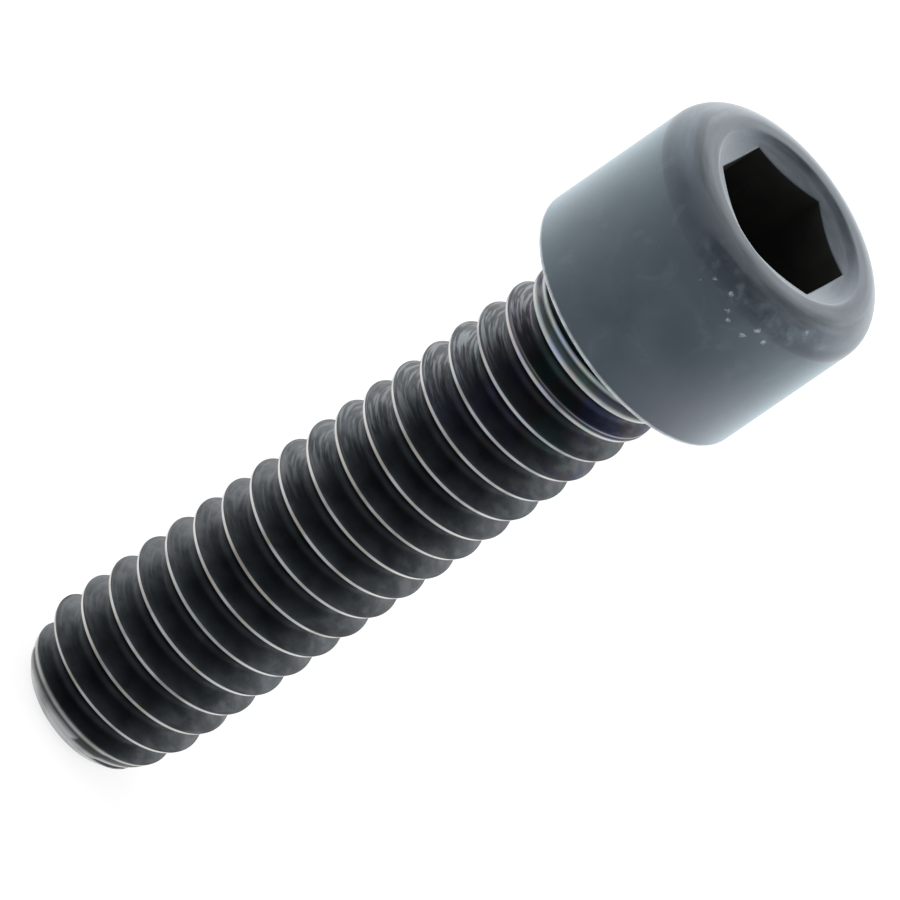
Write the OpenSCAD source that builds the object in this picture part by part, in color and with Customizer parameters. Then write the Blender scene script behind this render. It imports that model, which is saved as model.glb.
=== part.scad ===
// Socket head cap screw, fully threaded, standing on its tip with the head up.
// Millimetres. +Z runs along the screw from the tip to the head.
// The origin is the centre of the flat end of the tip.

/* [Thread] */
// Outside diameter of the thread, over the crests
thread_d = 6.32; // [5.6:0.02:6.9]
// Distance from one turn of the thread to the next
pitch = 1.27; // [1.0:0.01:1.6]
// Length from the tip to the underside of the head
shank_l = 25.15; // [12:0.05:40]
// Turns over which the groove fades out under the head
fade_turns = 1.8; // [0.5:0.1:3]
// Turn of the thread's start about the axis
thread_turn = 195; // [0:5:360]

/* [Tip] */
// Diameter of the flat end of the tip
tip_d = 4.4; // [3.6:0.05:5]
// Size of the 45 degree chamfer round the flat end
tip_chamfer = 0.42; // [0:0.02:0.8]
// Slope of the pointed end above the chamfer, measured from the axis
tip_angle = 21; // [15:1:45]

/* [Head] */
// Outside diameter of the head
head_d = 9.5; // [9:0.05:11]
// Height of the head
head_h = 6.65; // [6:0.05:8]
// Radius of the rounded shoulder between the side and the top face
shoulder_r = 1.15; // [0.3:0.05:1.4]
// Radius of the small rounding at the lower rim of the head
rim_r = 0.15; // [0.05:0.01:0.4]
// How much slimmer than the thread the neck under the head is, across
neck_step = 0.26; // [0:0.02:0.5]
// Radius of the fillet between the neck and the underside of the head
fillet_r = 0.45; // [0.3:0.05:0.6]

/* [Socket] */
// Width of the hexagon socket across its flats
hex_af = 4.92; // [4.2:0.02:5.1]
// Depth of the hexagon below the top face
hex_depth = 3.3; // [2.2:0.1:3.8]
// Diameter of the lead-in where it meets the top face
lead_d = 6.54; // [6.1:0.02:6.6]
// Slope of the lead-in cone, measured from the top face
lead_angle = 20; // [12:1:40]
// Width of the steep lip round the lead-in cone
lip_w = 0.14; // [0.04:0.02:0.3]
// Slope of the lip, measured from the top face
lip_angle = 50; // [42:1:65]
// Turn of the hexagon about the axis
hex_turn = 27; // [0:1:60]

/* [Hidden] */

thread_r = thread_d / 2;
neck_r = (thread_d - neck_step) / 2;
head_r = head_d / 2;
tip_r = tip_d / 2;
top_z = shank_l + head_h;

// Room that cutting and trimming forms keep past the faces they meet.
past = 1;
// How far the foot of the fillet starts inside the neck.
fillet_bite = 0.1;
// How far the fillet's collar and the thread reach up into the head.
sink = 0.5;
// Least run of a thread flank along the axis, where the groove has faded out.
least_flank = 0.03;

// Thread form: 60 degree flanks, a flat crest of an eighth of the pitch and a
// root that is rounded with one extra point on its floor.
flank = 30;
crest_w = pitch / 8;
root_w = pitch / 4;
groove_depth = (pitch - crest_w - root_w) / 2 / tan(flank);
root_round = 0.05;
segments = 32;
profile_n = 5;

// The thread body runs past both ends of the bar that it is trimmed to, from
// the flat end of the tip to a flat inside the head.
bar_top = shank_l + sink;
start_z = -1.5 * pitch;
turns = ceil((bar_top - start_z) / pitch + 0.5);
rows = turns * profile_n;
fade_end = shank_l - 0.3 * pitch;
fade_start = fade_end - fade_turns * pitch;

function clamp01(v) = max(0, min(1, v));

// 1 along the full thread, 0 where the groove has faded out under the head.
function fade(z) = 1 - clamp01((z - fade_start) / (fade_end - fade_start));

// Outside radius: full along the thread, easing to the neck under the head.
function crest_r(z) = neck_r + (thread_r - neck_r) * fade(z);

function depth(z) = groove_depth * fade(z);

// Half the groove's width at the crest; it narrows as the groove gets shallower.
function mouth(z) = root_w / 2 + max(depth(z) * tan(flank), least_flank);

// One turn of the profile at column height z0: two crest edges, then the root.
function row_z(z0, j) =
    j == 0 ? z0 - pitch / 2 + mouth(z0)
    : j == 1 ? z0 + pitch / 2 - mouth(z0)
    : j == 2 ? z0 + pitch / 2 - root_w / 2
    : j == 3 ? z0 + pitch / 2
    : z0 + pitch / 2 + root_w / 2;

function row_r(z0, j) =
    j <= 1 ? crest_r(z0)
    : j == 3 ? crest_r(z0) - depth(z0) - root_round * fade(z0)
    : crest_r(z0) - depth(z0);

function thread_point(row, i) =
    let (
        z0 = start_z + pitch * (floor(row / profile_n) + i / segments),
        j = row % profile_n,
        r = row_r(z0, j),
        a = 360 * i / segments
    )
    [r * cos(a), r * sin(a), row_z(z0, j)];

// Column 0 is one turn longer than the others, because the surface joins the
// last column to the first one turn further up.
long_n = rows + profile_n + 1;
short_n = rows + 1;
function at(row, i) = i == 0 ? row : long_n + (i - 1) * short_n + row;
function next(row, i) = i < segments - 1 ? at(row, i + 1) : at(row + profile_n, 0);

module thread_body() {
    wall = [
        for (i = [0:segments - 1])
            for (row = [0:(i == 0 ? long_n : short_n) - 1])
                thread_point(row, i)
    ];
    low = len(wall);
    high = low + 1;
    top_cap_z = start_z + turns * pitch + pitch / 2;
    points = concat(wall, [[0, 0, start_z], [0, 0, top_cap_z]]);
    side_a = [
        for (i = [0:segments - 1])
            for (row = [0:rows - 1])
                [at(row, i), next(row + 1, i), next(row, i)]
    ];
    side_b = [
        for (i = [0:segments - 1])
            for (row = [0:rows - 1])
                [at(row, i), at(row + 1, i), next(row + 1, i)]
    ];
    low_fan = [for (i = [0:segments - 1]) [low, at(0, i), next(0, i)]];
    low_step = [for (row = [0:profile_n - 1]) [low, at(row + 1, 0), at(row, 0)]];
    high_fan = [for (i = [0:segments - 1]) [high, next(rows, i), at(rows, i)]];
    high_step = [
        for (row = [rows:rows + profile_n - 1]) [high, at(row, 0), at(row + 1, 0)]
    ];
    polyhedron(
        points = points,
        faces = concat(side_a, side_b, low_fan, low_step, high_fan, high_step),
        convexity = 8
    );
}

// Round bar with a flat end, a chamfer and a pointed tip, used to trim the thread.
module tip_form() {
    bar_r = thread_r + past;
    cone_r = tip_r + tip_chamfer;
    cone_h = (bar_r - cone_r) / tan(tip_angle);
    rotate_extrude($fn = 96)
        polygon([
            [0, 0], [tip_r, 0], [cone_r, tip_chamfer],
            [bar_r, tip_chamfer + cone_h], [bar_r, bar_top], [0, bar_top]
        ]);
}

// Half section of the head: side, rounded shoulder, rounded lower rim.
module head_section() {
    translate([0, shank_l])
        square([head_r - rim_r, head_h - shoulder_r]);
    translate([0, shank_l + rim_r])
        square([head_r, head_h - shoulder_r - rim_r]);
    translate([0, shank_l])
        square([head_r - shoulder_r, head_h]);
    translate([head_r - shoulder_r, top_z - shoulder_r])
        circle(r = shoulder_r, $fn = 64);
    translate([head_r - rim_r, shank_l + rim_r])
        circle(r = rim_r, $fn = 24);
}

// Half section of the collar that fills the corner under the head.
module fillet_section() {
    centre_r = neck_r + fillet_r - fillet_bite;
    difference() {
        translate([0, shank_l - fillet_r])
            square([centre_r, fillet_r + sink]);
        translate([centre_r, shank_l - fillet_r])
            circle(r = fillet_r, $fn = 48);
    }
}

// Half section of the lead-in: a shallow cone down to the axis, inside a steep lip.
module lead_section() {
    lead_r = lead_d / 2;
    cone_r = lead_r - lip_w;
    lip_z = top_z - lip_w * tan(lip_angle);
    polygon([
        [0, lip_z - cone_r * tan(lead_angle)], [cone_r, lip_z],
        [lead_r + past / tan(lip_angle), top_z + past], [0, top_z + past]
    ]);
}

module socket() {
    corner_r = hex_af / 2 / cos(30);
    hex_floor = top_z - hex_depth;
    drill_h = hex_af / 2 * tan(30);
    rotate([0, 0, hex_turn])
        translate([0, 0, hex_floor])
            cylinder(r = corner_r, h = hex_depth + past, $fn = 6);
    rotate_extrude($fn = 96)
        lead_section();
    translate([0, 0, hex_floor - drill_h])
        cylinder(r1 = 0, r2 = hex_af / 2, h = drill_h, $fn = 96);
}

module cap_screw() {
    color([0.27, 0.30, 0.33])
        union() {
            difference() {
                rotate_extrude($fn = 128)
                    union() {
                        head_section();
                        fillet_section();
                    }
                socket();
            }
            intersection() {
                rotate([0, 0, thread_turn])
                    thread_body();
                tip_form();
            }
        }
}

cap_screw();
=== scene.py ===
"""Looks of the socket head cap screw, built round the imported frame.

The screw stands on its tip. Its mesh is shaped in millimetres and scaled to metres at the end.
"""

from math import atan2, cos, pi, radians, sin, sqrt, tan

import bmesh
import bpy
from mathutils import Matrix, Vector


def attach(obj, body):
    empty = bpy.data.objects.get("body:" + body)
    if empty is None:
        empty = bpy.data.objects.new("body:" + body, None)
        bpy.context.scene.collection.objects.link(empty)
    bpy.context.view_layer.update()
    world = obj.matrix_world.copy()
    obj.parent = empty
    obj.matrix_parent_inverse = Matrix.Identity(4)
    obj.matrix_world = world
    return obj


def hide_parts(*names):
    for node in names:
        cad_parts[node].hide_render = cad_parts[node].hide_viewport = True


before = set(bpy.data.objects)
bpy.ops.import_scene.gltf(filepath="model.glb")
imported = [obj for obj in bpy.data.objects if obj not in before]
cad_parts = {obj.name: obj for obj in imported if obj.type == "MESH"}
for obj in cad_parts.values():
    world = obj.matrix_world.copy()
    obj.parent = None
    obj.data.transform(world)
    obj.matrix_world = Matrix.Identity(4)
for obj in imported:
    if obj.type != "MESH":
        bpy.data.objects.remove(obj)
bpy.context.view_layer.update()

MM = 0.001

# Sizes of the screw in millimetres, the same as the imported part's.
PITCH = 1.27
THREAD_R = 3.16
NECK_R = 3.03
SHANK = 25.15
TOP = 31.8
FADE_TURNS = 1.8
FADE_END = SHANK - 0.3 * PITCH
FADE_START = FADE_END - FADE_TURNS * PITCH
THREAD_TURN = radians(195)
TIP_R = 2.2
TIP_CHAMFER = 0.42
TIP_SLOPE = radians(21)
HEAD_R = 4.75
SHOULDER_R = 1.15
RIM_R = 0.15
FILLET_R = 0.45
FILLET_BITE = 0.1
HEX_FLAT = 2.46
HEX_DEPTH = 3.3
HEX_TURN = radians(27)
LEAD_R = 3.27
LEAD_SLOPE = radians(20)
LIP_W = 0.14
LIP_SLOPE = radians(50)

# ---------------------------------------------------------------- thread form

ROOT_R = 0.225          # radius of the rounded root between the 60 degree flanks
ROOT_DEPTH = 0.737      # from the crest to the floor of the root
FLANK = radians(30)
STEPS = 96              # per turn of the thread
# Shares of the groove's height at which each flank has a row, from the floor to the crest
RISE = (0.0, 0.0185, 0.0714, 0.153, 0.29, 0.43, 0.57, 0.71, 0.84, 0.94, 1.0)
ROW_GAP = 0.006         # least gap between rows, where the groove has run out
WORN_FROM = 0.9         # the flank on the side of the tip is rubbed above this share
FACET_W = 0.11          # the crest's edge towards the tip is rubbed to a facet this wide
FACET_DROP = 0.05       # how far its foot is below the crest
FACET = ((0.3, 1.0), (0.65, 1.0), (1.0, 0.8))    # (share across the facet, wear)
CREST = ((0.2, 0.1), (0.6, 0.0), (0.8, 0.0))     # (share across the rest of the crest, wear)
WIDE_CREST = (0.2, 0.4)  # a crest this wide, as in the run-out, is rubbed at its far edge too
CORNER = 0.012          # how far the crest's other edge is rounded down
DROP_SHARE, CORNER_SHARE = 0.1, 0.05    # the most of a shallow groove's height that these take
BLANK_STEP = 0.14       # how much deeper the root is on the pointed end of the blank
BLANK_FROM, BLANK_TO = 1.0, 3.0     # heights between which the root rises to the full blank
TIP_FILL = 0.32         # how much the first groove is filled where it runs out at the tip
FILL_TO, FILL_FROM = 0.4, 1.2       # it is full at the lower height and starts at the upper
TIP_ROUND = 0.2         # radius of the worn edge round the flat end
TIP_BARE = 0.62         # the pointed end is rubbed bare up to the first groove
BARE_SKIN = 0.03        # how far below the blank's surface that reaches
SLANT = 1.5             # length of the profile over one pitch, against the pitch

# The thread is made longer than the screw, then cut at the worn end and inside the neck.
LOW_END = -3 * PITCH
TURNS = 24
LOW_CUT = TIP_ROUND * (1 - sin(radians(45)))
HIGH_CUT = SHANK - 0.3
WELD, HEAD_WELD = 0.004, 0.002      # points that are closer than this are merged


def between(value, low, high):
    """0 up to low, 1 from high on, and straight between them; low may be the greater."""
    return max(0.0, min(1.0, (value - low) / (high - low)))


def faded(z):
    """0 along the full thread, 1 where the groove has run out under the head."""
    return between(z, FADE_START, FADE_END)


def crest_radius(z):
    """The bar that the thread is formed in: pointed at the tip, slimmer at the neck."""
    chamfer = TIP_R + max(z, -1.0)
    cone = TIP_R + TIP_CHAMFER + (z - TIP_CHAMFER) * tan(TIP_SLOPE)
    return min(chamfer, cone, THREAD_R + (NECK_R - THREAD_R) * faded(z))


def root_floor(z):
    full = THREAD_R - ROOT_DEPTH - BLANK_STEP * between(z, BLANK_TO, BLANK_FROM)
    full += TIP_FILL * between(z, FILL_FROM, FILL_TO)
    return full + (NECK_R - full) * faded(z)


def groove_width(height):
    """Half the width of the groove at a height above its floor."""
    if height <= 0:
        return 0.0
    if height < ROOT_R / 2:
        return sqrt(2 * ROOT_R * height - height * height)
    return (height + ROOT_R) * tan(FLANK)


def groove_side(z, side):
    """(z, radius, wear) from the floor of the groove at z up one of its flanks."""
    floor, mouth = root_floor(z), 0.0
    for _ in range(12):     # settles, because the crest's radius changes slowly along the bar
        mouth = groove_width(crest_radius(z + side * mouth) - floor)
    height = max(crest_radius(z + side * mouth) - floor, 0.0)
    points = []
    for n, share in enumerate(RISE):
        out = max(groove_width(height * share), ROW_GAP * n)
        bar = crest_radius(z + side * out)
        radius = min(floor + height * share, bar)
        if side > 0:
            radius = min(radius, bar - min(FACET_DROP, height * DROP_SHARE))
            wear = max(0.0, (share - WORN_FROM) / (1 - WORN_FROM))
        else:
            wear = 0.0
            if share == 1.0:
                radius -= min(CORNER, height * CORNER_SHARE)
        points.append((z + side * out, radius, wear))
    return points


def thread_section(z):
    """One pitch of the profile, from the groove's floor at z to the next one."""
    low, high = groove_side(z, 1), groove_side(z + PITCH, -1)
    z0, z1 = low[-1][0], high[-1][0]
    drop = crest_radius(z0) - low[-1][1]
    crest = []
    for share, wear in FACET:
        at = z0 + FACET_W * share
        crest.append((at, crest_radius(at) - drop * (1 - share), wear))
    rest = z0 + FACET_W
    for share, wear in CREST:
        at = rest + (z1 - rest) * share
        far_edge = between(z1 - z0, *WIDE_CREST) if share == CREST[-1][0] else 0.0
        crest.append((at, crest_radius(at), max(wear, far_edge)))
    return low + crest + high[::-1]


ROWS = 2 * len(RISE) + len(FACET) + len(CREST) - 1


def thread_mesh():
    """A straight profile spun up a helix, then every point set to its place."""
    bm = bmesh.new()
    wear_and_glint_layer = bm.verts.layers.float.new("bare_and_glint")
    along_layer = bm.verts.layers.float.new("along")
    across_layer = bm.verts.layers.float.new("across")
    line = [bm.verts.new((THREAD_R, 0, LOW_END + PITCH * n / ROWS)) for n in range(ROWS + 1)]
    edges = [bm.edges.new(pair) for pair in zip(line, line[1:])]
    bmesh.ops.spin(
        bm, geom=line + edges, axis=(0, 0, 1), cent=(0, 0, 0),
        dvec=(0, 0, PITCH / STEPS), angle=2 * pi, steps=STEPS,
    )
    one_turn = bm.verts[:] + bm.edges[:] + bm.faces[:]
    for n in range(1, TURNS):
        copy = bmesh.ops.duplicate(bm, geom=one_turn)["geom"]
        lifted = [v for v in copy if isinstance(v, bmesh.types.BMVert)]
        bmesh.ops.translate(bm, vec=(0, 0, PITCH * n), verts=lifted)
    bmesh.ops.remove_doubles(bm, verts=bm.verts, dist=WELD)
    sections = {}
    for v in bm.verts:
        angle = atan2(v.co.y, v.co.x) % (2 * pi)
        step = round(angle / (2 * pi) * STEPS) % STEPS
        place = (v.co.z - LOW_END) / PITCH - step / STEPS
        turn = int((place + 0.25 / ROWS) // 1)
        row = round((place - turn) * ROWS)
        if (turn, step) not in sections:
            sections[turn, step] = thread_section(LOW_END + PITCH * (turn + step / STEPS))
        z, radius, wear = sections[turn, step][row]
        angle = 2 * pi * step / STEPS + THREAD_TURN
        v.co = (radius * cos(angle), radius * sin(angle), z)
        at_tip = z < TIP_BARE and radius > crest_radius(z) - BARE_SKIN
        v[wear_and_glint_layer] = 1.0 if at_tip else wear
        v[along_layer] = 2 * pi * THREAD_R * (turn + step / STEPS)
        v[across_layer] = SLANT * PITCH * row / ROWS
    return bm


# ---------------------------------------------------------------------- head

HEAD_STEPS = 192        # a multiple of six, so that points fall on the hexagon's corners
WALL = (0.0, 0.02, 0.3, 0.6, 0.85, 1.0)     # rows up the hexagon's walls
CONE = (0.25, 0.5, 0.75, 1.0)               # rows across the shallow cone
EDGE_W = 0.06           # width of the softened edge between the walls and the cone
EDGE = ((0.004, 0.022), (0.02, 0.006), (EDGE_W, 0.0))   # its rows: out from the wall, drop
DRILL_R, DRILL_DROP = 2.42, 0.012   # edge of the drill point, just inside the hexagon's floor
LIP_WEAR_AND_GLINT = (0.1, 0.25, 0.15)                # how bare the rows on the lip's edge are rubbed; partly a painted highlight
RIM_WEAR_AND_GLINT = (0.7, 1.0, 1.0, 1.0, 0.6)        # and those round the lower rim, also partly a painted highlight


def arc(centre, radius, first, last, count):
    """Points of an arc in the section, (radius from the axis, z), angles in degrees."""
    turn = [radians(first + (last - first) * n / count) for n in range(count + 1)]
    return [(centre[0] + radius * cos(a), centre[1] + radius * sin(a)) for a in turn]


def run(first, last, count):
    """Points between two points of the section, without either end."""
    return [
        tuple(a + (b - a) * n / count for a, b in zip(first, last)) for n in range(1, count)
    ]


def hexagon(angle):
    """Distance from the axis to the hexagon's wall in a direction."""
    return HEX_FLAT / cos((angle - HEX_TURN) % (pi / 3) - pi / 6)


def on_lead_in(radius):
    """Height of the shallow cone inside the steep lip."""
    return TOP - LIP_W * tan(LIP_SLOPE) - (LEAD_R - LIP_W - radius) * tan(LEAD_SLOPE)


def head_section():
    """The head's section from the drill point to the neck.

    A row is (radius, z), or a function of the direction where the hexagon shapes it. The
    second list says how bare each row is rubbed; on the lip and the lower rim this paler
    wear is partly a painted highlight.
    """
    floor = TOP - HEX_DEPTH
    point = (0, floor - HEX_FLAT * tan(radians(30)))
    drill_edge = (DRILL_R, floor - DRILL_DROP)
    side_top, rim_z = TOP - SHOULDER_R, SHANK + RIM_R
    fillet = (NECK_R + FILLET_R - FILLET_BITE, SHANK - FILLET_R)

    def wall(share):
        def place(angle):
            out = hexagon(angle)
            return out, floor + share * (on_lead_in(out) - EDGE_W - floor)
        return place

    def mouth(out_by, drop):
        return lambda angle: (hexagon(angle) + out_by, on_lead_in(hexagon(angle) + out_by) - drop)

    def cone(share):
        def place(angle):
            inner = hexagon(angle) + EDGE_W
            out = inner + share * (LEAD_R - LIP_W - 0.03 - inner)
            return out, on_lead_in(out)
        return place

    drilled = [point] + run(point, drill_edge, 5) + [drill_edge]
    walls = [wall(share) for share in WALL]
    edge = [mouth(out_by, drop) for out_by, drop in EDGE]
    cones = [cone(share) for share in CONE]
    lip = [
        (LEAD_R - LIP_W + 0.02, TOP - (LIP_W - 0.025) * tan(LIP_SLOPE)),
        (LEAD_R - 0.045, TOP - 0.054), (LEAD_R - 0.008, TOP - 0.021),
        (LEAD_R + 0.035, TOP - 0.005), (LEAD_R + 0.08, TOP),
    ]
    face = [(LEAD_R + 0.2, TOP)]
    shoulder = arc((HEAD_R - SHOULDER_R, side_top), SHOULDER_R, 90, 0, 18)
    side = run((HEAD_R, side_top), (HEAD_R, rim_z), 10) + [(HEAD_R, rim_z + 0.05)]
    rim = arc((HEAD_R - RIM_R, rim_z), RIM_R, 0, -90, 6)
    under = run((HEAD_R - RIM_R, SHANK), (fillet[0], SHANK), 4)
    curl = arc(fillet, FILLET_R, 90, 141, 6)
    neck = [(NECK_R, SHANK - 0.24)]
    rows = drilled + walls + edge + cones + lip + face + shoulder + side + rim + under + curl + neck
    bare_and_glint = [0.0] * len(rows)
    lip_at, rim_at = rows.index(lip[2]), rows.index(rim[0])
    bare_and_glint[lip_at:lip_at + len(LIP_WEAR_AND_GLINT)] = LIP_WEAR_AND_GLINT
    bare_and_glint[rim_at:rim_at + len(RIM_WEAR_AND_GLINT)] = RIM_WEAR_AND_GLINT
    return rows, bare_and_glint


def add_head(bm):
    """The head's section spun round the axis, with the hexagon's rows set to its walls."""
    row_layer = bm.verts.layers.int.new("row")
    wear_and_glint_layer = bm.verts.layers.float["bare_and_glint"]
    rows, bare_and_glint = head_section()
    line = []
    for n, row in enumerate(rows):
        radius, z = row(HEX_TURN) if callable(row) else row
        v = bm.verts.new((radius * cos(HEX_TURN), radius * sin(HEX_TURN), z))
        v[row_layer] = n + 1
        v[wear_and_glint_layer] = bare_and_glint[n]
        line.append(v)
    edges = [bm.edges.new(pair) for pair in zip(line, line[1:])]
    bmesh.ops.spin(
        bm, geom=line + edges, axis=(0, 0, 1), cent=(0, 0, 0),
        angle=2 * pi, steps=HEAD_STEPS, use_merge=True,
    )
    made = [v for v in bm.verts if v[row_layer]]
    bmesh.ops.remove_doubles(bm, verts=made, dist=HEAD_WELD)
    for v in (v for v in bm.verts if v[row_layer]):
        row = rows[v[row_layer] - 1]
        if callable(row):
            angle = atan2(v.co.y, v.co.x)
            radius, z = row(angle)
            v.co = (radius * cos(angle), radius * sin(angle), z)
    last = len(rows)
    return [e for e in bm.edges if all(v[row_layer] == last for v in e.verts)]


def cut(bm, z, up):
    """Cuts the thread off level; up keeps what is above. Returns the edges of the cut."""
    geometry = bm.verts[:] + bm.edges[:] + bm.faces[:]
    made = bmesh.ops.bisect_plane(
        bm, geom=geometry, dist=1e-5, plane_co=(0, 0, z), plane_no=(0, 0, 1),
        clear_inner=up, clear_outer=not up,
    )
    return [e for e in made["geom_cut"] if isinstance(e, bmesh.types.BMEdge)]


def close_tip(bm, ring):
    """Rounds the edge of the flat end and closes it."""
    centre_r = TIP_R - TIP_ROUND * tan(radians(22.5))
    around = arc((centre_r, TIP_ROUND), TIP_ROUND, -45, -90, 5)[1:]
    for radius, z in around + run(around[-1], (0, 0), 3):
        made = bmesh.ops.extrude_edge_only(bm, edges=ring)["geom"]
        ring = [e for e in made if isinstance(e, bmesh.types.BMEdge)]
        for v in (v for v in made if isinstance(v, bmesh.types.BMVert)):
            angle = atan2(v.co.y, v.co.x)
            v.co = (radius * cos(angle), radius * sin(angle), z)
    end = bmesh.ops.contextual_create(bm, geom=ring)["faces"]
    bmesh.ops.poke(bm, faces=end)


# Material slots of the mesh, in the order in which the finishes are added to it.
SIDE, THREAD, SOCKET, FACE = range(4)
SOCKET_SKIN = 0.003     # how far outside the hexagon a face still counts as its wall
FACE_LIFT = 0.03        # keeps the last row of the side out of the shoulder's finish
SHARP = radians(35)     # edges that turn more than this stay sharp


def slot_at(centre):
    """The material slot of a face, from its middle."""
    out = Vector((centre.x, centre.y)).length
    if centre.z <= HIGH_CUT:
        return THREAD
    if out < hexagon(atan2(centre.y, centre.x)) + SOCKET_SKIN:
        return SOCKET
    return FACE if centre.z > TOP - SHOULDER_R + FACE_LIFT else SIDE


def screw_mesh():
    bm = thread_mesh()
    low = cut(bm, LOW_CUT, True)
    high = cut(bm, HIGH_CUT, False)
    close_tip(bm, [e for e in low if e.is_valid])
    ring = add_head(bm)
    bmesh.ops.bridge_loops(bm, edges=[e for e in high if e.is_valid] + ring)
    bmesh.ops.recalc_face_normals(bm, faces=bm.faces)
    for f in bm.faces:
        f.smooth = True
        f.material_index = slot_at(f.calc_center_median())
    for e in bm.edges:
        e.smooth = len(e.link_faces) == 2 and e.calc_face_angle() < SHARP
    open_edges = sum(len(e.link_faces) != 2 for e in bm.edges)
    print("mesh", len(bm.faces), sum(len(f.verts) - 2 for f in bm.faces), "open", open_edges)
    bmesh.ops.scale(bm, vec=(MM, MM, MM), verts=bm.verts)
    mesh = bpy.data.meshes.new("cap_screw_body")
    bm.to_mesh(mesh)
    bm.free()
    return mesh


# ------------------------------------------------------------------ materials

HEAD_DARK, HEAD_LIGHT = "#333b42", "#3d454d"    # the oxide's clouds
HEAD_PURPLE = "#5a5662"                         # a purple cast low on the right of the side
HEAD_SMEAR = "#8d979e"                          # faint marks of fingers and cloth
FACE_LIGHT, FACE_DARK = "#42464c", "#24282d"    # streaks on the turned top face
RUB_DARK, RUB_PALE = "#272d35", "#717980"       # the speckled strip along the shoulder
NICK_STEEL, EDGE_STEEL = "#c6cbce", "#b9bdbf"   # bare metal in the nicks; on the lip and lower rim, worn bare and partly a painted highlight
HEAD_ROUGH = 0.42
SIDE_BLOOM = "#c9dae2"  # the fine powdery bloom of the salt bath, seen at grazing angles
FACE_BLOOM = "#ccd5db"  # the same on the shoulder and top face, where handling has thinned it
TURNED = (31.0, 31.7)   # heights over which the side's tone turns to the top face's
# Where handling has marked the shoulder: degrees round the axis and height in millimetres.
RUBBED = ((268, 31.5), (283, 31.5), (298, 31.45), (312, 31.4), (325, 31.35))
RUBBED_R = 1.15
NICKS = ((272, 30.5), (275, 30.9), (284, 31.0), (289, 30.5), (292, 30.3), (301, 30.25),
         (303, 30.75), (309, 30.55), (322, 31.5), (328, 31.4))
NICK_R = 0.16
RAGGED = 0.25           # how far the nicks' outlines wander
PURPLE_AT, PURPLE_R = (3.6, -2.6, 26.2), 3.2
# Sizes of the head's patterns in millimetres. The grain is drawn coarser than the oxide's own,
# so that it shows.
CLOUD, SMEAR, SPECKLE, RAG, GRAIN = 2.6, 2.4, 0.4, 0.1, 0.09
FACE_STREAK = (0.35, 1.5)   # width in millimetres, changes over a radian

THREAD_DARK, THREAD_LIGHT = "#1e2225", "#2e3236"
ROOT_SHADE = "#0b0d0e"                          # painted shade darkening the root of the groove
STROKE_GREY = "#6d7276"                         # brushed strokes and scuffs on the flanks, drawn only towards the sides and mostly on the left: partly a painted highlight of the lit flanks
STEEL_WARM, STEEL_COOL = "#8d8a83", "#979da1"   # the rubbed crests
STEEL_GLINT = "#dadad6"                        # the crests painted brighter towards the two sides: a painted reflection
TIP_STEEL = "#a0a2a3"
# Heat tints near the head, over the noise that spreads them: of the oxide, of the steel.
OXIDE_TINTS = ((0.36, "#14342f"), (0.5, "#2e2024"), (0.64, "#23284a"))
STEEL_TINTS = ((0.36, "#84a09c"), (0.46, "#aeaaa6"), (0.56, "#8c9bc0"), (0.66, "#a899a6"))
# Where these marks lie in millimetres, from where they start to where they are full.
SIDES_GLINT_AND_SCUFF = (1.2, 2.6)        # out from the middle to the left and right, where the crests get a painted reflection and the flanks their scuffs
ROOT_SHADE_SPAN = (2.62, 2.45)    # distance from the axis over which the root gets its painted shade
TINTED = (17, 23)           # heights
STROKED = (9, 20)
TIP_GREY = (0.9, 0.6)
# Patterns on the thread in millimetres: length and width of the brushed strokes and scuffs,
# and the sizes of the clouds, of both tints and of the wear along the crests.
STROKE, SCUFF = (1.6, 0.07), (0.8, 0.28)
THREAD_CLOUD, OXIDE_SPREAD, STEEL_SPREAD, CREST_WEAR = 0.9, 2.0, 1.6, 1.4
THREAD_METAL = 0.95
THREAD_ROUGH = 0.5

# The socket's walls are painted near black: a painted shade for the deep recess, over the oxide's
# own dark tone.
SOCKET_DARK, SOCKET_LIGHT = "#0e100e", "#171815"
SOCKET_CLOUD, SOCKET_GRAIN = 0.7, 0.12          # millimetres


def linear(code):
    """An sRGB hex colour as Blender's linear values."""
    part = [int(code[n:n + 2], 16) / 255 for n in (1, 3, 5)]
    return [c / 12.92 if c <= 0.04045 else ((c + 0.055) / 1.055) ** 2.4 for c in part] + [1]


def per_mm(size):
    """Texture scale at which a pattern's feature is a size in millimetres."""
    return 1 / (size * MM)


def node(tree, kind, sockets=(), stops=(), **settings):
    """Adds a node with its settings, its colour stops, and its values or links."""
    made = tree.nodes.new("ShaderNode" + kind)
    for name, value in settings.items():
        setattr(made, name, value)
    for name, value in dict(sockets).items():
        if isinstance(value, bpy.types.NodeSocket):
            tree.links.new(value, made.inputs[name])
        else:
            made.inputs[name].default_value = value
    if stops:
        elements = made.color_ramp.elements
        while len(elements) < len(stops):
            elements.new(1)
        for element, (position, colour) in zip(elements, stops):
            element.position = position
            element.color = linear(colour)
    return made


def material(name):
    made = bpy.data.materials.new(name)
    made.use_nodes = True
    made.node_tree.nodes.clear()
    return made, made.node_tree


def ramp(tree, value, low, high, low_to=0.0, high_to=1.0):
    """A value taken from one range to another and held inside it."""
    return node(tree, "MapRange", {"Value": value, "From Min": low, "From Max": high,
                                   "To Min": low_to, "To Max": high_to}).outputs["Result"]


def over_mm(tree, value, places, low_to=0.0, high_to=1.0):
    """The same between two places of the object, in millimetres."""
    return ramp(tree, value, places[0] * MM, places[1] * MM, low_to, high_to)


def calc(tree, operation, a, b):
    return node(tree, "Math", {0: a, 1: b}, operation=operation).outputs[0]


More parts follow.
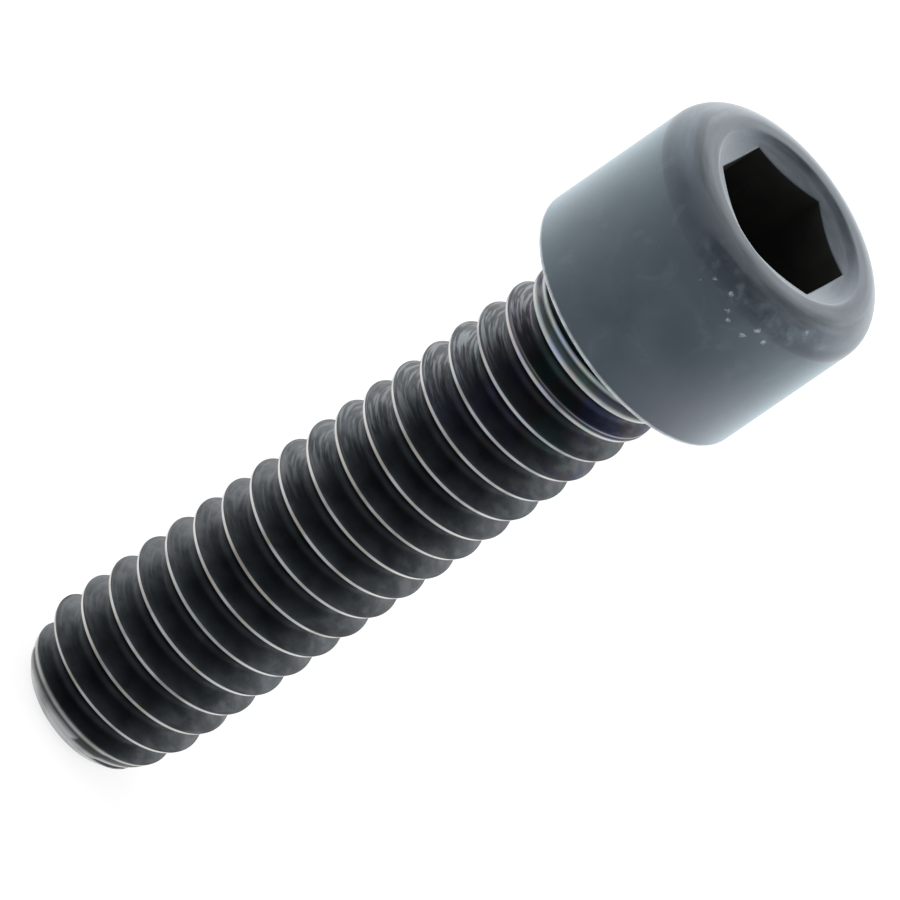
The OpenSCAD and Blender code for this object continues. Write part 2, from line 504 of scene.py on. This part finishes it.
def mixed(tree, amount, a, b):
    """Two colours mixed; each is a socket or a hex colour."""
    a, b = (linear(c) if isinstance(c, str) else c for c in (a, b))
    return node(tree, "Mix", {"Factor": amount, "A": a, "B": b},
                data_type="RGBA").outputs["Result"]


def noise(tree, place, size, detail=3, **more):
    """Noise whose features are a size in millimetres."""
    return node(tree, "TexNoise", {"Vector": place, "Scale": per_mm(size), "Detail": detail,
                                   **more}).outputs["Fac"]


def vector(tree, operation, output, *values):
    """One step of vector arithmetic."""
    return node(tree, "VectorMath", dict(enumerate(values)), operation=operation).outputs[output]


def from_axis(tree, axes):
    """The vector to a place from the screw's axis, square to the axis."""
    return node(tree, "CombineXYZ", {name: axes.outputs[name] for name in "XY"}).outputs["Vector"]


def spot(tree, place, centre, radius):
    """1 at a point of the object, falling to 0 at a distance, in millimetres."""
    away = vector(tree, "DISTANCE", "Value", place, [c * MM for c in centre])
    return ramp(tree, away, 0.3 * radius * MM, radius * MM, 1.0, 0.0)


def spots(tree, place, marks, radius):
    """Soft spots on the head's shoulder, each given by its degrees and height."""
    total = None
    for degrees, z in marks:
        rise = max(0.0, z - (TOP - SHOULDER_R))
        out = HEAD_R - SHOULDER_R + sqrt(SHOULDER_R ** 2 - rise ** 2)
        centre = (out * cos(radians(degrees)), out * sin(radians(degrees)), z)
        one = spot(tree, place, centre, radius)
        total = one if total is None else calc(tree, "MAXIMUM", total, one)
    return total


def face_streaks(tree, place, width, turn):
    """Noise drawn out round the axis: a streak's width in millimetres, and how often the
    streaks change over a radian."""
    out = from_axis(tree, node(tree, "SeparateXYZ", {"Vector": place}))
    rings = calc(tree, "DIVIDE", vector(tree, "LENGTH", "Value", out), width * MM)
    rings = node(tree, "CombineXYZ", {"Z": rings}).outputs["Vector"]
    way = vector(tree, "NORMALIZE", "Vector", out)
    spread = vector(tree, "MULTIPLY_ADD", "Vector", way, [turn] * 3, rings)
    return node(tree, "TexNoise", {"Vector": spread, "Scale": 1.0, "Detail": 3}).outputs["Fac"]


def black_oxide_head(name, bloom, weight):
    """Forged and turned steel head, blackened in hot salts: satin blue-grey, clouded, with
    a powdery bloom, a rubbed and speckled patch on the shoulder, paler edges worn bare and
    partly painted as a highlight, and soft dark streaks round the top face from turning."""
    made, tree = material(name)
    place = node(tree, "TexCoord").outputs["Object"]
    height = node(tree, "SeparateXYZ", {"Vector": place}).outputs["Z"]
    bare_and_glint = node(tree, "Attribute", attribute_name="bare_and_glint").outputs["Fac"]

    cloud = noise(tree, place, CLOUD, 4, Distortion=0.8)
    tone = mixed(tree, ramp(tree, cloud, 0.35, 0.65), HEAD_DARK, HEAD_LIGHT)
    purple = calc(tree, "MULTIPLY", spot(tree, place, PURPLE_AT, PURPLE_R), 0.55)
    tone = mixed(tree, purple, tone, HEAD_PURPLE)
    smear = noise(tree, place, SMEAR, 2, Distortion=2.5)
    tone = mixed(tree, ramp(tree, smear, 0.56, 0.7, 0.0, 0.05), tone, HEAD_SMEAR)

    patch = noise(tree, place, SPECKLE, 5)
    rubbed = spots(tree, place, RUBBED, RUBBED_R)
    dark = calc(tree, "MULTIPLY", rubbed, ramp(tree, patch, 0.46, 0.58, 0.0, 0.8))
    pale = calc(tree, "MULTIPLY", rubbed, ramp(tree, patch, 0.44, 0.34, 0.0, 0.25))
    tone = mixed(tree, dark, tone, RUB_DARK)
    tone = mixed(tree, pale, tone, RUB_PALE)
    wander = node(tree, "TexNoise", {"Vector": place, "Scale": per_mm(RAG)}).outputs["Color"]
    wander = vector(tree, "MULTIPLY", "Vector", wander, [RAGGED * MM] * 3)
    ragged = vector(tree, "ADD", "Vector", place, wander)
    nick = ramp(tree, spots(tree, ragged, NICKS, NICK_R), 0.3, 1.0, 0.0, 0.38)
    tone = mixed(tree, nick, tone, NICK_STEEL)
    # The lip and the lower rim are paler: worn bare, and partly a painted highlight on these edges.
    worn = calc(tree, "MULTIPLY", bare_and_glint, ramp(tree, patch, 0.35, 0.65, 0.5, 1.0))
    tone = mixed(tree, worn, tone, EDGE_STEEL)

    streak = face_streaks(tree, place, *FACE_STREAK)
    face = mixed(tree, ramp(tree, streak, 0.42, 0.62), FACE_LIGHT, FACE_DARK)
    turned = over_mm(tree, height, TURNED, 0.0, 0.85)
    tone = mixed(tree, turned, tone, face)
    grain = noise(tree, place, GRAIN)
    shine = calc(tree, "ADD", ramp(tree, grain, 0.3, 0.7, HEAD_ROUGH - 0.04, HEAD_ROUGH + 0.04),
                 ramp(tree, cloud, 0.35, 0.65, 0.0, 0.04))
    bump = node(tree, "Bump", {"Height": grain, "Strength": 0.12, "Distance": 0.004 * MM})
    skin = node(tree, "BsdfPrincipled", {
        "Base Color": tone, "Metallic": 1.0, "Roughness": shine, "Sheen Weight": weight,
        "Sheen Roughness": 0.5, "Sheen Tint": linear(bloom), "Normal": bump.outputs["Normal"]})
    node(tree, "OutputMaterial", {"Surface": skin.outputs["BSDF"]})
    return made


def brushed(tree, along, across, length, width, detail):
    """Streaks that follow the turns of the thread, sized in millimetres."""
    spread = node(tree, "CombineXYZ", {
        "X": calc(tree, "DIVIDE", along, length), "Y": calc(tree, "DIVIDE", across, width)})
    return node(tree, "TexNoise", {"Vector": spread.outputs["Vector"], "Scale": 1.0,
                                   "Detail": detail}, noise_dimensions="2D").outputs["Fac"]


def black_oxide_thread():
    """Rolled thread, blackened: matt near-black flanks brushed along the turns, with the
    tip side of each crest rubbed to bare steel and faint heat tints near the head. The roots
    get a painted shade, and the crests and flanks towards the two sides a painted highlight."""
    made, tree = material("black_oxide_rolled_thread")
    place = node(tree, "TexCoord").outputs["Object"]
    axes = node(tree, "SeparateXYZ", {"Vector": place})
    height = axes.outputs["Z"]
    # Masks that rise towards the two sides of the thread, where painted highlights go.
    start, full = (distance * MM for distance in SIDES_GLINT_AND_SCUFF)
    left = ramp(tree, axes.outputs["X"], -start, -full)
    right = ramp(tree, axes.outputs["X"], start, full)
    glint_and_scuff = calc(tree, "MAXIMUM", left, right)
    bare_and_glint, along, across = (
        node(tree, "Attribute", attribute_name=name).outputs["Fac"]
        for name in ("bare_and_glint", "along", "across"))

    cloud = noise(tree, place, THREAD_CLOUD, 4)
    tone = mixed(tree, ramp(tree, cloud, 0.35, 0.65), THREAD_DARK, THREAD_LIGHT)
    out = vector(tree, "LENGTH", "Value", from_axis(tree, axes))
    # Painted shade darkens the roots of the groove.
    tone = mixed(tree, over_mm(tree, out, ROOT_SHADE_SPAN, 0.0, 0.35), tone, ROOT_SHADE)
    near_head = over_mm(tree, height, TINTED, 0.0, 0.45)
    tint = node(tree, "ValToRGB", {"Fac": noise(tree, place, OXIDE_SPREAD, 2)}, stops=OXIDE_TINTS)
    tone = mixed(tree, near_head, tone, tint.outputs["Color"])

    # Brushed strokes on the left and scuffs on both sides, light grey: partly a painted highlight
    # of the lit sides.
    stroke = ramp(tree, brushed(tree, along, across, *STROKE, 3), 0.46, 0.6, 0.0, 0.75)
    stroke = calc(tree, "MULTIPLY", stroke, over_mm(tree, height, STROKED, 0.2, 1.0))
    stroke = calc(tree, "MULTIPLY", stroke, left)
    scuff = ramp(tree, brushed(tree, along, across, *SCUFF, 4), 0.45, 0.65, 0.0, 0.15)
    scuff = calc(tree, "MULTIPLY", scuff, glint_and_scuff)
    tone = mixed(tree, calc(tree, "MAXIMUM", stroke, scuff), tone, STROKE_GREY)

    steel = mixed(tree, ramp(tree, cloud, 0.4, 0.6), STEEL_WARM, STEEL_COOL)
    # The crests are painted brighter towards the two sides: a painted reflection.
    steel = mixed(tree, calc(tree, "MULTIPLY", glint_and_scuff, 0.8), steel, STEEL_GLINT)
    tint = node(tree, "ValToRGB", {"Fac": noise(tree, place, STEEL_SPREAD, 2)}, stops=STEEL_TINTS)
    steel = mixed(tree, calc(tree, "MULTIPLY", near_head, 1.1), steel, tint.outputs["Color"])
    steel = mixed(tree, over_mm(tree, height, TIP_GREY), steel, TIP_STEEL)
    uneven = ramp(tree, noise(tree, place, CREST_WEAR), 0.3, 0.5, 0.6, 1.0)
    worn = calc(tree, "MULTIPLY", bare_and_glint, uneven)
    tone = mixed(tree, worn, tone, steel)

    shine = calc(tree, "SUBTRACT", THREAD_ROUGH, calc(tree, "MULTIPLY", worn, 0.3))
    skin = node(tree, "BsdfPrincipled", {
        "Base Color": tone, "Metallic": ramp(tree, worn, 0.0, 1.0, THREAD_METAL, 1.0),
        "Roughness": shine})
    node(tree, "OutputMaterial", {"Surface": skin.outputs["BSDF"]})
    return made


def black_oxide_socket_shade():
    """Punched walls of the hexagon, blackened, with a near-black painted shade for the deep recess.
    """
    made, tree = material("black_oxide_socket_painted_shade")
    place = node(tree, "TexCoord").outputs["Object"]
    cloud = noise(tree, place, SOCKET_CLOUD)
    tone = mixed(tree, ramp(tree, cloud, 0.35, 0.65), SOCKET_DARK, SOCKET_LIGHT)
    shine = ramp(tree, noise(tree, place, SOCKET_GRAIN), 0.3, 0.7, 0.55, 0.7)
    skin = node(tree, "BsdfPrincipled", {
        "Base Color": tone, "Roughness": shine, "Specular IOR Level": 0.2})
    node(tree, "OutputMaterial", {"Surface": skin.outputs["BSDF"]})
    return made


# ------------------------------------------------------- floor, light, camera

WHITE = (1, 1, 1, 1)
PAPER = "#e6e6e6"               # the floor as it lights the screw
SHADED, GLOW = "#898989", 0.75  # the floor as it is seen: white, with a soft shadow
SOFT_LIGHT = 0.9                # the surroundings as they light the screw
FLOOR_R = 3             # metres, so that no edge of it shows
FLOOR_DROP = 0.01       # millimetres, keeps the floor just clear of the flat end


def seen_white(tree):
    """1 for the rays that see the floor or the surroundings as the picture's white."""
    path = node(tree, "LightPath")
    first = calc(tree, "MAXIMUM", path.outputs["Is Camera Ray"], path.outputs["Is Glossy Ray"])
    return calc(tree, "MAXIMUM", first, path.outputs["Is Transmission Ray"])


def stage():
    made, tree = material("white_paper")
    paper = node(tree, "BsdfDiffuse", {"Color": linear(PAPER)})
    shaded = node(tree, "BsdfDiffuse", {"Color": linear(SHADED)})
    glow = node(tree, "Emission", {"Color": WHITE, "Strength": GLOW})
    both = node(tree, "AddShader", {0: shaded.outputs[0], 1: glow.outputs[0]})
    mix = node(tree, "MixShader", {"Fac": seen_white(tree), 1: paper.outputs[0],
                                   2: both.outputs[0]})
    node(tree, "OutputMaterial", {"Surface": mix.outputs[0]})
    bm = bmesh.new()
    bmesh.ops.create_circle(bm, cap_ends=True, radius=FLOOR_R, segments=96,
                            matrix=Matrix.Translation((0, 0, -FLOOR_DROP * MM)))
    mesh = bpy.data.meshes.new("floor")
    bm.to_mesh(mesh)
    bm.free()
    mesh.materials.append(made)
    floor = bpy.data.objects.new("floor", mesh)
    bpy.context.scene.collection.objects.link(floor)

    world = bpy.data.worlds.new("studio")
    bpy.context.scene.world = world
    world.use_nodes = True
    tree = world.node_tree
    tree.nodes.clear()
    white = node(tree, "Background", {"Color": WHITE, "Strength": 1.0})
    soft = node(tree, "Background", {"Color": WHITE, "Strength": SOFT_LIGHT})
    mix = node(tree, "MixShader", {"Fac": seen_white(tree), 1: soft.outputs[0],
                                   2: white.outputs[0]})
    node(tree, "OutputWorld", {"Surface": mix.outputs[0]})


def softbox(name, around, away, height, size, power, mirrored=True):
    """A soft lamp that faces the screw's axis, `around` degrees from +X, or straight down.

    Its place and size are in metres, its power in watts.
    """
    light = bpy.data.lights.new(name, "AREA")
    light.shape, light.energy = "RECTANGLE", power
    light.size, light.size_y = size
    lamp = bpy.data.objects.new(name, light)
    side = Vector((cos(radians(around)), sin(radians(around)), 0))
    lamp.location = away * side + Vector((0, 0, height))
    facing = -side if away else Vector((0, 0, -1))
    lamp.rotation_euler = facing.to_track_quat("-Z", "Y").to_euler()
    lamp.visible_camera = False
    lamp.visible_glossy = mirrored
    bpy.context.scene.collection.objects.link(lamp)


# The camera as fitted to the photograph: its tilt from straight down, its roll, and the
# point that it looks at, in millimetres.
TILT, ROLL = radians(61.71), radians(34.561)
DISTANCE = 900
AIM = (0.002, -0.0965, 16.821)
LENS, SENSOR = 1111.8, 36
CLIP_NEAR, CLIP_FAR = 0.05, 10


def camera():
    """The photograph's view: 28 degrees above the horizon, rolled so that the head is
    up to the right."""
    along = Vector((0, cos(TILT), sin(TILT)))
    across = Vector((1, 0, 0))
    back = Vector((0, -sin(TILT), cos(TILT)))
    right = cos(ROLL) * along + sin(ROLL) * across
    up = sin(ROLL) * along - cos(ROLL) * across
    data = bpy.data.cameras.new("photo_view")
    data.lens, data.sensor_width = LENS, SENSOR
    data.clip_start, data.clip_end = CLIP_NEAR, CLIP_FAR
    view = bpy.data.objects.new("photo_view", data)
    turn = Matrix((right, up, back)).transposed().to_4x4()
    view.matrix_world = Matrix.Translation(Vector(AIM) * MM + DISTANCE * MM * back) @ turn
    bpy.context.scene.collection.objects.link(view)
    bpy.context.scene.camera = view


camera()
stage()
softbox("back_left_softbox", 140, 0.45, 0.21, (0.8, 0.4), 2.2)
softbox("back_right_softbox", 36, 0.45, 0.21, (0.8, 0.4), 2.4)
softbox("left_fill", 172, 0.4, 0.13, (0.5, 0.25), 1.2, mirrored=False)
softbox("overhead_softbox", 0, 0, 0.6, (0.9, 0.9), 0.5)

screw = bpy.data.objects.new("cap_screw_body", screw_mesh())
bpy.context.scene.collection.objects.link(screw)
screw.data.materials.append(black_oxide_head("black_oxide_turned_side", SIDE_BLOOM, 1.0))
screw.data.materials.append(black_oxide_thread())
screw.data.materials.append(black_oxide_socket_shade())
screw.data.materials.append(black_oxide_head("black_oxide_turned_top", FACE_BLOOM, 0.8))
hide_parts("cap_screw")
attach(screw, "root")

bpy.context.scene.view_settings.view_transform = "Standard"
